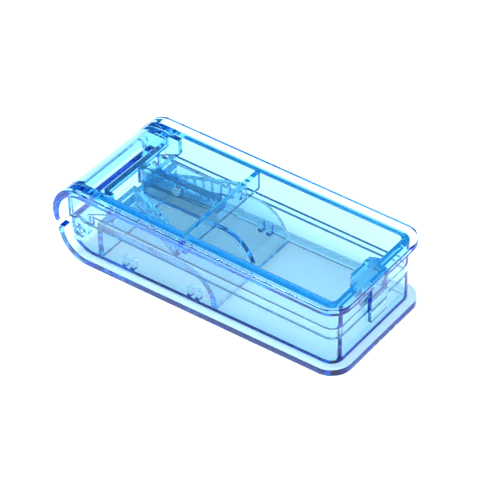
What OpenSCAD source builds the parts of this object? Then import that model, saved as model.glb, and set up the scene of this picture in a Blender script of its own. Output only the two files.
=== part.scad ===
// Pocket pill splitter: a clear plastic tray with a hinged lid. The lid carries a steel blade
// that drops between the two ridged walls of a V-shaped pill holder, and the front half of the
// tray stores pills. Millimetres, +Z up, +X towards the front, standing on Z = 0.

/* [Overall] */
// Length from the back of the lid's curl to the front of the foot
overall_l = 90; // [88:1:94]
// Width of the foot and of the lid's rim
overall_w = 40; // [39:1:42]
// Height at the crown of the lid, over the hinge
overall_h = 23; // [22.5:0.5:24]
// How far the closed lid slopes down to the front, in degrees
lid_slope = 1.2; // [0.8:0.1:1.4]
// Radius of the front corners of the foot and the rim
corner_r = 6; // [5:0.5:7]

/* [Walls] */
// Thickness of the foot plate and of the strip that it makes round the back
foot_t = 2; // [1.8:0.1:2.2]
// Thickness of the lid's rim and of its curl
rim_t = 2.2; // [2:0.1:2.4]
// Thickness of the clear panel in the middle of the lid
panel_t = 1.5; // [1.3:0.1:1.7]
// Thickness of the upright walls of the tray and the lid
wall_t = 2.2; // [2:0.1:2.3]
// How far the foot and the rim stand out beyond the walls
overhang = 2.4; // [2.2:0.1:2.6]

/* [Closure] */
// Distance from the top of the lid down to the seam
lid_h = 11.4; // [11.2:0.1:11.6]
// Height of the tray's inner lip above the seam
lip_h = 2.4; // [2:0.1:2.8]
// Clearance between the lip and the lid
lip_gap = 0.2; // [0.15:0.05:0.3]
// Width of the latch tab on the front
tab_w = 7; // [6:0.5:9]

/* [Hinge] */
// Distance from the back of the object to the hinge axis
pin_setback = 6.2; // [6.1:0.1:6.3]
// Height of the hinge axis
pin_z = 7.9; // [7.8:0.1:8]
// Radius of the moulded hinge pins
pin_r = 1.25; // [1.2:0.05:1.3]
// Radial clearance of the pins in their bores
pin_gap = 0.05; // [0.04:0.01:0.08]

/* [Pill holder] */
// Height of the platform that the pill lies on
platform_z = 12.3; // [12:0.1:12.5]
// Height of the ridged walls above the platform
grip_h = 4.2; // [3.8:0.1:4.4]
// Spacing of the ridges
ridge_pitch = 2.3; // [2:0.1:3]
// Width of the slit that the blade drops into
slit_w = 1.4; // [1.2:0.1:1.8]

/* [Blade] */
// Length of the blade
blade_l = 23; // [20:1:24]
// Thickness of the blade
blade_t = 0.5; // [0.4:0.05:0.5]

/* [Hidden] */
$fn = 96;
tiny = 0.01;
// How far the pieces of one moulding run into each other
merge = 0.3;

front_x = overall_l / 2;
half_w = overall_w / 2;
wall_x = front_x - overhang;
wall_y = half_w - overhang;
room_x = wall_x - wall_t;
room_y = wall_y - wall_t;
wall_r = corner_r - overhang;
room_r = wall_r - wall_t;

// The back of the tray is an arc that is tangent to the ground, set in a little under the curl.
back_r = 9.5;
back_setback = 1.7;
back_x = back_setback - front_x + back_r;
strip_top = 9.8;

// The lid is drawn in a frame of its own, turned by lid_slope about the centre of its curl.
curl_r = 9;
curl_x = curl_r - front_x;
curl_z = overall_h - curl_r;
seam_z = curl_r - lid_h;
seam_gap = 0.05;
skirt_x = (wall_x - curl_x) / cos(lid_slope) - seam_z * tan(lid_slope);
rim_x = (front_x - curl_x - curl_r * sin(lid_slope)) / cos(lid_slope);
curl_end = 207;

// Hinge: pins on the lid's ears turn in bores in the tray's walls. Lengths along X are counted
// from the back of the object, here and below.
pin_x = pin_setback - front_x;
bore_r = pin_r + pin_gap;
knuckle_r = 4.35;
knuckle_gap = 0.25;
hook_clear_r = 5.3;
boss_r = 2.9;
boss_t = 0.4;
lug_r = 2.6;
ear_t = 1.65;
ear_gap = 0.15;
ear_y = room_y - ear_gap;
ear_slot_y = ear_y - ear_t - ear_gap;
ear_front_x = 16 - front_x;
ear_low_z = overall_h - 9.5;
ear_high_z = overall_h - 1.1;
ear_web_x = 10.8 - front_x;
ear_web_h = 5.9;
slot_z = 4;
slot_depth = 3;

// Studs on the tray's floor, in pairs along the walls
stud_x = [for (x = [20, 22.6, 41, 43.6]) x - front_x];
stud_l = 1.2;
stud_w = 1.6;
stud_h = 3;

// The tray's inner lip leaves the wall in front of the hinge.
lip_t = wall_t / 2 - lip_gap;
lip_y = room_y + lip_t;
lip_x = room_x + lip_t;
lip_back = 11.5 - front_x;
rebate = wall_t / 2;
rebate_back = lip_back - 0.4;

// Ribs, boss and latch tab of the lid
panel_back = 2.7;
back_bar_x = -2.5;
back_bar_t = 6.2;
back_bar_h = 3.4;
cross_x = 39.6 - front_x;
cross_t = 1.5;
cross_h = 5.5;
boss_w = 11;
boss_depth = 2.8;
boss_chamfer = 1.4;
tab_t = 1;
tab_drop = 2.8;
tab_stand = 0.2;

// Pill holder
holder_y = room_y - 0.1;
holder_t = 1.8;
holder_back = 12 - front_x;
ramp_r = platform_z - foot_t;
ramp_x = 50.5 - front_x - ramp_r;
grip_t = 1.5;
grip_start = [15 - front_x, 3.2];
grip_end = [37.5 - front_x, 13];
grip_l = norm(grip_end - grip_start);
grip_angle = atan2(grip_end.y - grip_start.y, grip_end.x - grip_start.x);
ridge_r = 0.5;
slit_back = holder_back + holder_t + 0.1;
slit_z = foot_t + 2.5;

// Blade, the bar that grips it and the rivet through both
bar_w = 3.2;
bar_back = 5.2;
bar_front = 30.2;
bar_h_back = 4.8;
bar_h_front = 3;
groove_w = blade_t + 0.06;
blade_x = 5.8;
blade_top = curl_r - panel_t - 0.8;
blade_edge = -2.2;
blade_bevel = 1.8;
rivet_x = (bar_back + bar_front) / 2;
rivet_z = curl_r - panel_t - 2;
rivet_r = 0.8;
rivet_gap = 0.03;
rivet_head_r = 1.25;
rivet_head_t = 0.4;

// Draws its children in the lid's frame.
module lid_frame()
    translate([curl_x, 0, curl_z]) rotate([0, lid_slope, 0]) children();

// Turns a side view, drawn in X and Z, into a solid that is w wide and centred on Y = 0.
module side(w)
    rotate([90, 0, 0]) translate([0, 0, -w / 2]) linear_extrude(w) children();

// The same for a plate between y0 and y1 on both sides of the object.
module both_sides(y0, y1)
    for (s = [-1, 1])
        translate([0, s * (y0 + y1) / 2, 0]) side(y1 - y0) children();

// A cylinder of radius r on the hinge axis, w wide.
module on_hinge(r, w)
    translate([pin_x, w / 2, pin_z]) rotate([90, 0, 0]) cylinder(r = r, h = w);

// Plan of a plate from x0 to x1 whose two front corners are rounded.
module tongue(x0, x1, y, r) {
    translate([x0, -y]) square([x1 - x0 - r, 2 * y]);
    translate([x0, r - y]) square([x1 - x0, 2 * (y - r)]);
    for (s = [-1, 1])
        translate([x1 - r, s * (y - r)]) circle(r);
}

// Everything on the tray's side of the seam, moved up by dz.
module below_seam(dz)
    lid_frame() translate([-overall_l, -overall_w, seam_z + dz - overall_l])
        cube([3 * overall_l, 2 * overall_w, overall_l]);

// Side view of the tray, inset by t from its rounded back.
module back_outline(t) {
    translate([back_x, back_r]) circle(back_r - t);
    translate([back_x, t]) square([2 * overall_l, overall_h]);
}

// Side view of the tray's upper back corner, which is rounded about the hinge.
module knuckle_limit() {
    translate([pin_x, pin_z]) circle(knuckle_r);
    translate([-overall_l, -overall_l]) square([3 * overall_l, overall_l + pin_z]);
    translate([pin_x, 0]) square([3 * overall_l, overall_h]);
}

// Foot plate, which carries on round the back as a strip
module foot() {
    linear_extrude(foot_t) tongue(back_x, front_x, half_w, corner_r);
    side(overall_w) intersection() {
        difference() {
            translate([back_x, back_r]) circle(back_r);
            translate([back_x, back_r]) circle(back_r - foot_t);
        }
        knuckle_limit();
        translate([-overall_l, 0]) square([overall_l + back_x, strip_top]);
    }
}

// Upright walls up to the seam, with a round knuckle at each end of the hinge
module tray_walls() {
    difference() {
        intersection() {
            linear_extrude(overall_h) tongue(-front_x, wall_x, wall_y, wall_r);
            side(overall_w) intersection() {
                back_outline(0);
                knuckle_limit();
            }
            union() {
                below_seam(-seam_gap);
                on_hinge(knuckle_r, overall_w);
            }
        }
        intersection() {
            linear_extrude(overall_h) tongue(-front_x, room_x, room_y, room_r);
            side(overall_w) back_outline(foot_t);
        }
    }
}

// Thin inner lip that stands above the seam
module tray_lip() {
    intersection() {
        difference() {
            linear_extrude(overall_h) tongue(lip_back, lip_x, lip_y, room_r + lip_t);
            linear_extrude(overall_h) tongue(lip_back - 1, room_x, room_y, room_r);
        }
        difference() {
            below_seam(lip_h);
            below_seam(-1);
        }
        // The lip's back end is rounded down to the seam.
        side(overall_w) union() {
            translate([lip_back + lip_h, curl_z + seam_z]) circle(lip_h);
            translate([lip_back + lip_h, 0]) square([overall_l, overall_h]);
        }
    }
}

module tray_studs()
    both_sides(room_y - stud_w, room_y + merge)
        for (x = stud_x)
            translate([x, foot_t - merge]) square([stud_l, stud_h + merge]);

module base_tray() color("lightskyblue", 0.6) {
    difference() {
        union() {
            foot();
            tray_walls();
            tray_lip();
            tray_studs();
            // Round bosses about the hinge pins
            both_sides(wall_y - tiny, wall_y + boss_t)
                translate([pin_x, pin_z]) circle(boss_r);
        }
        on_hinge(bore_r, 2 * overall_w);
        // Slots that the lid's ears swing through
        both_sides(ear_slot_y, room_y)
            translate([back_x - slot_depth - overall_l, slot_z]) square([overall_l, overall_h]);
    }
}

// Side view of the platform and of the ramp that rolls down to the floor of the store
module holder_profile(t) {
    translate([holder_back, foot_t]) square([ramp_x - holder_back, ramp_r - t]);
    intersection() {
        translate([ramp_x, foot_t]) circle(ramp_r - t);
        translate([ramp_x, foot_t]) square(ramp_r);
    }
}

// One ridged wall of the V and the wing that joins its back end to the side
module grip_wall() {
    translate([grip_start.x, grip_start.y, platform_z - holder_t]) rotate(grip_angle) {
        cube([grip_l, grip_t, holder_t + grip_h]);
        for (x = [ridge_pitch : ridge_pitch : grip_l - ridge_r])
            translate([x, 0, holder_t - tiny]) cylinder(r = ridge_r, h = grip_h, $fn = 24);
    }
    translate([grip_start.x - grip_t / 2, grip_start.y, platform_z - holder_t])
        cube([grip_t, grip_end.y - grip_start.y, holder_t + grip_h]);
}

module pill_holder() color("deepskyblue", 0.6) {
    difference() {
        union() {
            side(2 * holder_y) difference() {
                holder_profile(0);
                translate([-tiny, -tiny]) holder_profile(holder_t);
            }
            grip_wall();
            mirror([0, 1, 0]) grip_wall();
            // Back wall under the platform
            translate([holder_back, -holder_y, foot_t])
                cube([holder_t, 2 * holder_y, platform_z - foot_t]);
        }
        // Slit for the blade, open at the front and down the ramp
        translate([slit_back, -slit_w / 2, slit_z])
            cube([overall_l, slit_w, overall_h]);
    }
}

// Side view of the lid's top: a flat plate whose back end curls down over the hinge
module lid_top_profile() {
    difference() {
        union() {
            circle(curl_r);
            square([rim_x + 1, curl_r]);
        }
        circle(curl_r - rim_t);
        translate([0, -curl_r]) square([rim_x + 2, 2 * curl_r - rim_t]);
        polygon([[0, 0], 2 * curl_r * [cos(curl_end), sin(curl_end)], [0, -2 * curl_r]]);
    }
}

// The lid's top: a thick rim round a thinner panel, and the curl over the hinge
module lid_top() {
    difference() {
        intersection() {
            side(overall_w + 2) lid_top_profile();
            translate([0, 0, -curl_r]) linear_extrude(3 * curl_r)
                tongue(-2 * curl_r, rim_x, half_w, corner_r);
        }
        translate([0, 0, curl_r - rim_t - 1]) linear_extrude(rim_t - panel_t + 1)
            tongue(panel_back, skirt_x - wall_t, room_y, room_r);
    }
}

// Walls of the lid, from the rim down to the seam
module lid_skirt() {
    skirt_back = pin_x - lug_r - curl_x;
    difference() {
        translate([0, 0, seam_z]) linear_extrude(lid_h - rim_t + merge) difference() {
            tongue(skirt_back, skirt_x, wall_y, wall_r);
            tongue(skirt_back - 1, skirt_x - wall_t, room_y, room_r);
        }
        // Rebate that the tray's lip fits into
        translate([0, 0, seam_z - 1]) linear_extrude(lip_h + lip_gap + 1)
            tongue(rebate_back - curl_x, skirt_x - rebate, wall_y - rebate, wall_r - rebate);
    }
}

module lid_ribs() {
    rib_top = curl_r - panel_t + merge;
    boss_low = seam_z + lip_h + 2 * lip_gap;
    // Thick bar that stiffens the lid between its ears
    translate([back_bar_x, -ear_y, rib_top - back_bar_h])
        cube([back_bar_t, 2 * ear_y, back_bar_h]);
    translate([cross_x - curl_x, -room_y - merge, rib_top - cross_h])
        cube([cross_t, 2 * (room_y + merge), cross_h]);
    // Boss behind the front wall
    translate([skirt_x - wall_t, 0, boss_low]) linear_extrude(rib_top - boss_low)
        polygon([
            [merge, -boss_w / 2], [merge, boss_w / 2],
            [-boss_depth, boss_w / 2 - boss_chamfer], [-boss_depth, boss_chamfer - boss_w / 2]
        ]);
}

// Latch tab: it runs down the front of the lid and overlaps the tray
module lid_tab() {
    translate([skirt_x - merge, -tab_w / 2, seam_z])
        cube([merge + tab_stand + tab_t, tab_w, lid_h - rim_t + merge]);
    translate([skirt_x + tab_stand, -tab_w / 2, seam_z - tab_drop])
        cube([tab_t, tab_w, tab_drop + merge]);
}

// Ears that hang into the tray and carry the hinge pins
module lid_ears() {
    both_sides(ear_y - ear_t, ear_y) {
        translate([pin_x, pin_z]) circle(lug_r);
        polygon([
            [pin_x - lug_r, pin_z], [pin_x - lug_r, ear_high_z - 2], [pin_x + lug_r, ear_high_z],
            [ear_front_x, ear_high_z], [ear_front_x, ear_low_z + 3],
            [pin_x + lug_r, ear_low_z], [pin_x + lug_r, pin_z]
        ]);
    }
    // Web that joins the ear to the skirt behind the lip
    both_sides(ear_y - merge, room_y + merge)
        translate([pin_x - lug_r + merge, ear_low_z])
            square([ear_web_x - pin_x + lug_r - merge, ear_web_h]);
    // Pins moulded on the ears
    for (s = [-1, 1])
        translate([pin_x, s * (ear_y - merge), pin_z]) rotate([-90 * s, 0, 0])
            cylinder(r = pin_r, h = merge + ear_gap + wall_t + boss_t / 2);
}

module lid_cover() color("skyblue", 0.5) {
    difference() {
        lid_frame() lid_top();
        on_hinge(hook_clear_r, 2 * overall_w);
    }
    difference() {
        lid_frame() lid_skirt();
        on_hinge(knuckle_r + knuckle_gap, 2 * overall_w);
    }
    lid_frame() {
        lid_ribs();
        lid_tab();
    }
    lid_ears();
}

// A cylinder on the rivet's axis, w wide
module rivet_shape(r, w)
    translate([rivet_x, w / 2, rivet_z]) rotate([90, 0, 0]) cylinder(r = r, h = w);

module blade_bar() color("dodgerblue", 0.6) lid_frame() {
    under = curl_r - panel_t;
    difference() {
        side(bar_w) polygon([
            [bar_back, under], [bar_front, under],
            [bar_front, under - bar_h_front], [bar_back, under - bar_h_back]
        ]);
        translate([blade_x - 0.1, -groove_w / 2, blade_edge])
            cube([blade_l + 0.2, groove_w, blade_top - blade_edge + 0.05]);
        rivet_shape(rivet_r + rivet_gap, 2 * bar_w);
    }
}

module blade() color("silver") lid_frame() {
    difference() {
        translate([blade_x, 0, 0]) rotate([90, 0, 90]) linear_extrude(blade_l)
            polygon([
                [-blade_t / 2, blade_top], [blade_t / 2, blade_top],
                [blade_t / 2, blade_edge + blade_bevel], [0.02, blade_edge],
                [-0.02, blade_edge], [-blade_t / 2, blade_edge + blade_bevel]
            ]);
        rivet_shape(rivet_r + rivet_gap, 2 * bar_w);
    }
}

module blade_rivet() color("lightblue") lid_frame() {
    rivet_shape(rivet_r, bar_w + 2 * tiny);
    for (s = [-1, 1])
        translate([0, s * (bar_w + rivet_head_t) / 2, 0])
            rivet_shape(rivet_head_r, rivet_head_t);
}

base_tray();
pill_holder();
lid_cover();
blade_bar();
blade();
blade_rivet();
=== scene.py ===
"""Looks for a clear blue pocket pill splitter: materials, light and camera round the CAD frame."""
import math

import bmesh
import bpy
from mathutils import Matrix, Vector


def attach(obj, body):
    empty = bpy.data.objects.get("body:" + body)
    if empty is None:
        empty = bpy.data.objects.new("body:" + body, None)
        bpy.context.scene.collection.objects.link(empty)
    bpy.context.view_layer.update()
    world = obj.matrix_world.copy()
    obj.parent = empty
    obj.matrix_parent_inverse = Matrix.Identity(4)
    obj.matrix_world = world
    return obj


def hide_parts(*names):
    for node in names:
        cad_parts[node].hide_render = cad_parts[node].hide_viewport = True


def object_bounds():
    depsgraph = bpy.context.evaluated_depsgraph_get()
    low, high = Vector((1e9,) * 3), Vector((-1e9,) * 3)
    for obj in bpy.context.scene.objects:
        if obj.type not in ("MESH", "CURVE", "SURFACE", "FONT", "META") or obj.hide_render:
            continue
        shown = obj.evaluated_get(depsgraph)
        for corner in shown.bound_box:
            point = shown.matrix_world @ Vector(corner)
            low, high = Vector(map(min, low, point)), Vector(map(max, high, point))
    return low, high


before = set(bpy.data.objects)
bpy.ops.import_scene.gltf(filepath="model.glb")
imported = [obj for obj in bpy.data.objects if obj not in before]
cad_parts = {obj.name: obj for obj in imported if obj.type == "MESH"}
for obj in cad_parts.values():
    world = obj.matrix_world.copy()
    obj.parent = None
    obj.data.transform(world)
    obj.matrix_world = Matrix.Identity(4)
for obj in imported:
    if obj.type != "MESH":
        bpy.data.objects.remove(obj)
CAD_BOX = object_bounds()

SCENE = bpy.context.scene

# Camera: where it looks from and at, in degrees and metres
VIEW_AZIMUTH = 36.9
VIEW_ELEVATION = 38.95
VIEW_ROLL = 1.2
VIEW_DISTANCE = 0.6458
VIEW_TARGET = Vector((0.0, 0.0, 0.0115))
VIEW_LENS_MM = 180.9
VIEW_SENSOR_MM = 36.0
VIEW_SHIFT = (0.0256, -0.0222)

# Colours are linear.
WHITE = (1.0, 1.0, 1.0, 1.0)

# Clear plastic: the tint of each crossing, what a thick piece lets through, and its density per metre
PLASTIC_TINT = (0.92, 0.975, 1.0, 1.0)
PLASTIC_ABSORB = (0.02, 0.73, 0.95, 1.0)
PLASTIC_DENSITY = 150.0
PLASTIC_IOR = 1.49
PLASTIC_ROUGHNESS = (0.0, 0.02)
BLADE_COLOUR = (0.6, 0.63, 0.67, 1.0)
BLADE_ROUGHNESS = (0.12, 0.24)
RIVET_COLOUR = (0.66, 0.68, 0.7, 1.0)
RIVET_ROUGHNESS = (0.2, 0.3)

# Most values of a noise texture lie between these.
NOISE_LOW = 0.3
NOISE_HIGH = 0.7

# Floor: it glows a little, so the clear plastic on it has a bright base
FLOOR_COLOUR = (0.88, 0.89, 0.9, 1.0)
FLOOR_GLOW = 0.6
FLOOR_ROUGHNESS = (0.65, 0.75)
FLOOR_SIZE = 6.0
FLOOR_DROP = 0.00005

# Sky: strength at the horizon and overhead, the heights between which it changes, and its
# colour low down
SKY_HORIZON = 0.3
SKY_ZENITH = 1.8
SKY_HEIGHTS = (0.66, 0.95)
SKY_LOW_COLOUR = (0.2, 0.5, 1.0, 1.0)
# Light runs a long way inside clear plastic, so its reflections there need many bounces.
LIGHT_BOUNCES = 64

# Meshes: points this close are one, flatter folds than this are dissolved, and sharper ones than
# SHARP_ANGLE are shaded as edges
WELD = 0.000002
FLAT_ANGLE = math.radians(0.5)
SHARP_ANGLE = math.radians(40.0)
# Rounding of moulded edges: the flattest angle that is rounded
EDGE_ANGLE = math.radians(28.0)
# The sharpest of them, on the outline of the rim and the foot, have a bead
BEAD_ANGLE = math.radians(60.0)
# The rim and the foot have a full bead all round: its radius, and their corners' radius
BEAD_RADIUS = 0.00075
CORNER_RADIUS = 0.006
# How far inside the outline a point may lie and still be on it; the lid slopes, so its front does
SIDE_SLACK = 0.00001
FRONT_SLACK = 0.0004
# Each drawn piece lies this far inside its CAD solid, so touching faces are never in one place
SKIN = 0.00002


def new_material(name):
    """An empty node material with its output and one Principled shader."""
    material = bpy.data.materials.new(name)
    material.use_nodes = True
    nodes = material.node_tree.nodes
    nodes.clear()
    output = nodes.new("ShaderNodeOutputMaterial")
    shader = nodes.new("ShaderNodeBsdfPrincipled")
    material.node_tree.links.new(shader.outputs["BSDF"], output.inputs["Surface"])
    return material, shader, output


def noise(material, scale, detail=3.0, stretch=(1.0, 1.0, 1.0)):
    """A noise texture over object coordinates, scaled per axis by stretch."""
    tree = material.node_tree
    coords = tree.nodes.new("ShaderNodeTexCoord")
    mapping = tree.nodes.new("ShaderNodeMapping")
    mapping.inputs["Scale"].default_value = stretch
    texture = tree.nodes.new("ShaderNodeTexNoise")
    texture.inputs["Scale"].default_value = scale
    texture.inputs["Detail"].default_value = detail
    tree.links.new(coords.outputs["Object"], mapping.inputs["Vector"])
    tree.links.new(mapping.outputs["Vector"], texture.inputs["Vector"])
    return texture.outputs["Fac"]


def spread(material, value, low, high):
    """Map a noise value to the range low..high."""
    node = material.node_tree.nodes.new("ShaderNodeMapRange")
    node.inputs["From Min"].default_value = NOISE_LOW
    node.inputs["From Max"].default_value = NOISE_HIGH
    node.inputs["To Min"].default_value = low
    node.inputs["To Max"].default_value = high
    material.node_tree.links.new(value, node.inputs["Value"])
    return node.outputs["Result"]


def bump(material, shader, height, strength, distance):
    """Shade the surface as if height, 0..1, raised it by up to distance."""
    node = material.node_tree.nodes.new("ShaderNodeBump")
    node.inputs["Strength"].default_value = strength
    node.inputs["Distance"].default_value = distance
    material.node_tree.links.new(height, node.inputs["Height"])
    material.node_tree.links.new(node.outputs["Normal"], shader.inputs["Normal"])


def clear_plastic():
    """Polished clear moulding: blue by absorption, with faint flow waves and a trace of haze."""
    material, shader, output = new_material("clear_blue_plastic")
    shader.inputs["Base Color"].default_value = PLASTIC_TINT
    shader.inputs["Transmission Weight"].default_value = 1.0
    shader.inputs["IOR"].default_value = PLASTIC_IOR
    haze = noise(material, scale=180.0, detail=4.0)
    roughness = spread(material, haze, *PLASTIC_ROUGHNESS)
    material.node_tree.links.new(roughness, shader.inputs["Roughness"])
    waves = noise(material, scale=55.0, detail=1.0, stretch=(0.5, 1.0, 1.0))
    bump(material, shader, waves, strength=0.03, distance=0.0004)
    volume = material.node_tree.nodes.new("ShaderNodeVolumeAbsorption")
    volume.inputs["Color"].default_value = PLASTIC_ABSORB
    volume.inputs["Density"].default_value = PLASTIC_DENSITY
    material.node_tree.links.new(volume.outputs["Volume"], output.inputs["Volume"])
    return material


def ground_steel(name, colour, roughness):
    """Steel with fine grinding lines along X."""
    material, shader, _ = new_material(name)
    shader.inputs["Base Color"].default_value = colour
    shader.inputs["Metallic"].default_value = 1.0
    lines = noise(material, scale=900.0, detail=2.0, stretch=(0.03, 1.0, 1.0))
    material.node_tree.links.new(spread(material, lines, *roughness), shader.inputs["Roughness"])
    bump(material, shader, lines, strength=0.15, distance=0.00005)
    return material


def on_outline(point):
    """Whether a point lies on the outer edge of the rim or the foot, seen from above."""
    high = CAD_BOX[1]
    y = abs(point.y)
    centre_x = high.x - CORNER_RADIUS
    centre_y = high.y - CORNER_RADIUS
    if point.x > centre_x and y > centre_y:
        reach = math.hypot(point.x - centre_x, y - centre_y)
        return reach > CORNER_RADIUS - FRONT_SLACK
    return y > high.y - SIDE_SLACK or point.x > high.x - FRONT_SLACK


def round_beads(mesh):
    """Round the long outer edges of the rim, the curl and the foot."""
    edges = [
        edge for edge in mesh.edges
        if len(edge.link_faces) == 2
        and edge.calc_face_angle() > BEAD_ANGLE
        and all(on_outline(vert.co) for vert in edge.verts)
    ]
    bmesh.ops.bevel(
        mesh, geom=edges, offset=BEAD_RADIUS, segments=4, profile=0.5,
        affect="EDGES", clamp_overlap=True)


def rounded(node, body, material, width, beads=False):
    """Stand in for a CAD node with a copy of its mesh whose sharp edges are rounded."""
    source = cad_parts[node]
    mesh = bmesh.new()
    mesh.from_mesh(source.data)
    bmesh.ops.remove_doubles(mesh, verts=mesh.verts, dist=WELD)
    bmesh.ops.dissolve_limit(
        mesh, angle_limit=FLAT_ANGLE, verts=mesh.verts, edges=mesh.edges)
    if beads:
        round_beads(mesh)
    mesh.normal_update()
    for vert in mesh.verts:
        vert.co -= vert.normal * SKIN
    data = bpy.data.meshes.new(node + "_rounded")
    mesh.to_mesh(data)
    mesh.free()
    piece = bpy.data.objects.new(node + "_rounded", data)
    SCENE.collection.objects.link(piece)
    bevel = piece.modifiers.new("edges", "BEVEL")
    bevel.width = width
    bevel.segments = 2
    bevel.limit_method = "ANGLE"
    bevel.angle_limit = EDGE_ANGLE
    bevel.use_clamp_overlap = True
    bevel.miter_outer = "MITER_ARC"
    # Flat faces keep their own normals, so they refract as flat glass does.
    normals = piece.modifiers.new("normals", "WEIGHTED_NORMAL")
    normals.weight = 100
    normals.keep_sharp = True
    data.materials.clear()
    data.materials.append(material)
    data.shade_smooth()
    data.set_sharp_from_angle(angle=SHARP_ANGLE)
    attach(piece, body)
    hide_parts(node)


def area_light(name, place, size, power):
    """A square soft light that faces the object."""
    data = bpy.data.lights.new(name, "AREA")
    data.shape = "SQUARE"
    data.size = size
    data.energy = power
    light = bpy.data.objects.new(name, data)
    light.location = place
    light.rotation_euler = (VIEW_TARGET - Vector(place)).to_track_quat("-Z", "Y").to_euler()
    SCENE.collection.objects.link(light)


def floor():
    """A plain pale floor, just under the object."""
    material, shader, _ = new_material("pale_floor")
    shader.inputs["Base Color"].default_value = FLOOR_COLOUR
    shader.inputs["Emission Color"].default_value = WHITE
    shader.inputs["Emission Strength"].default_value = FLOOR_GLOW
    grain = noise(material, scale=40.0)
    roughness = spread(material, grain, *FLOOR_ROUGHNESS)
    material.node_tree.links.new(roughness, shader.inputs["Roughness"])
    bpy.ops.mesh.primitive_plane_add(size=FLOOR_SIZE, location=(0.0, 0.0, -FLOOR_DROP))
    plane = bpy.context.object
    plane.name = "floor"
    plane.data.materials.append(material)


def camera():
    """The camera, placed by its direction and distance from the target."""
    azimuth = math.radians(VIEW_AZIMUTH)
    elevation = math.radians(VIEW_ELEVATION)
    outward = Vector((
        math.sin(azimuth) * math.cos(elevation),
        -math.cos(azimuth) * math.cos(elevation),
        math.sin(elevation),
    ))
    data = bpy.data.cameras.new("camera")
    data.sensor_width = VIEW_SENSOR_MM
    data.lens = VIEW_LENS_MM
    data.shift_x, data.shift_y = VIEW_SHIFT
    data.clip_start = 0.01
    holder = bpy.data.objects.new("camera", data)
    holder.location = VIEW_TARGET + outward * VIEW_DISTANCE
    level = outward.to_track_quat("Z", "Y").to_matrix()
    roll = Matrix.Rotation(math.radians(-VIEW_ROLL), 3, "Z")
    holder.rotation_euler = (level @ roll).to_euler()
    SCENE.collection.objects.link(holder)
    SCENE.camera = holder


def surroundings():
    """Sky, colour handling and light bounces."""
    world = bpy.data.worlds.new("studio")
    world.use_nodes = True
    tree = world.node_tree
    background = tree.nodes["Background"]
    # A soft box overhead: the light falls off and turns blue towards the horizon.
    coords = tree.nodes.new("ShaderNodeTexCoord")
    axes = tree.nodes.new("ShaderNodeSeparateXYZ")
    height = tree.nodes.new("ShaderNodeMapRange")
    height.inputs["From Min"].default_value = SKY_HEIGHTS[0]
    height.inputs["From Max"].default_value = SKY_HEIGHTS[1]
    colour = tree.nodes.new("ShaderNodeMixRGB")
    colour.inputs["Color1"].default_value = SKY_LOW_COLOUR
    colour.inputs["Color2"].default_value = WHITE
    strength = tree.nodes.new("ShaderNodeMapRange")
    strength.inputs["To Min"].default_value = SKY_HORIZON
    strength.inputs["To Max"].default_value = SKY_ZENITH
    tree.links.new(coords.outputs["Generated"], axes.inputs["Vector"])
    tree.links.new(axes.outputs["Z"], height.inputs["Value"])
    tree.links.new(height.outputs["Result"], colour.inputs["Fac"])
    tree.links.new(height.outputs["Result"], strength.inputs["Value"])
    tree.links.new(colour.outputs["Color"], background.inputs["Color"])
    tree.links.new(strength.outputs["Result"], background.inputs["Strength"])
    SCENE.world = world
    SCENE.view_settings.view_transform = "Standard"
    SCENE.cycles.max_bounces = LIGHT_BOUNCES
    SCENE.cycles.transmission_bounces = LIGHT_BOUNCES
    SCENE.cycles.glossy_bounces = LIGHT_BOUNCES


camera()
surroundings()
floor()
area_light("key", place=(-0.25, -0.15, 0.7), size=0.3, power=5.0)
area_light("fill", place=(0.6, -0.4, 0.4), size=0.4, power=1.5)

# Every piece: its body, the width of its edges' rounding, and whether it has the outer beads
plastic = clear_plastic()
for name, body, width, beads in (
    ("base_tray", "tray", 0.0002, True),
    ("pill_holder", "tray", 0.00012, False),
    ("lid_cover", "lid", 0.0002, True),
    ("blade_bar", "lid", 0.0002, False),
):
    rounded(name, body, plastic, width, beads=beads)
blade_steel = ground_steel("blade_steel", BLADE_COLOUR, BLADE_ROUGHNESS)
rivet_steel = ground_steel("rivet_steel", RIVET_COLOUR, RIVET_ROUGHNESS)
rounded("blade", "lid", blade_steel, 0.00003)
rounded("blade_rivet", "lid", rivet_steel, 0.0001)
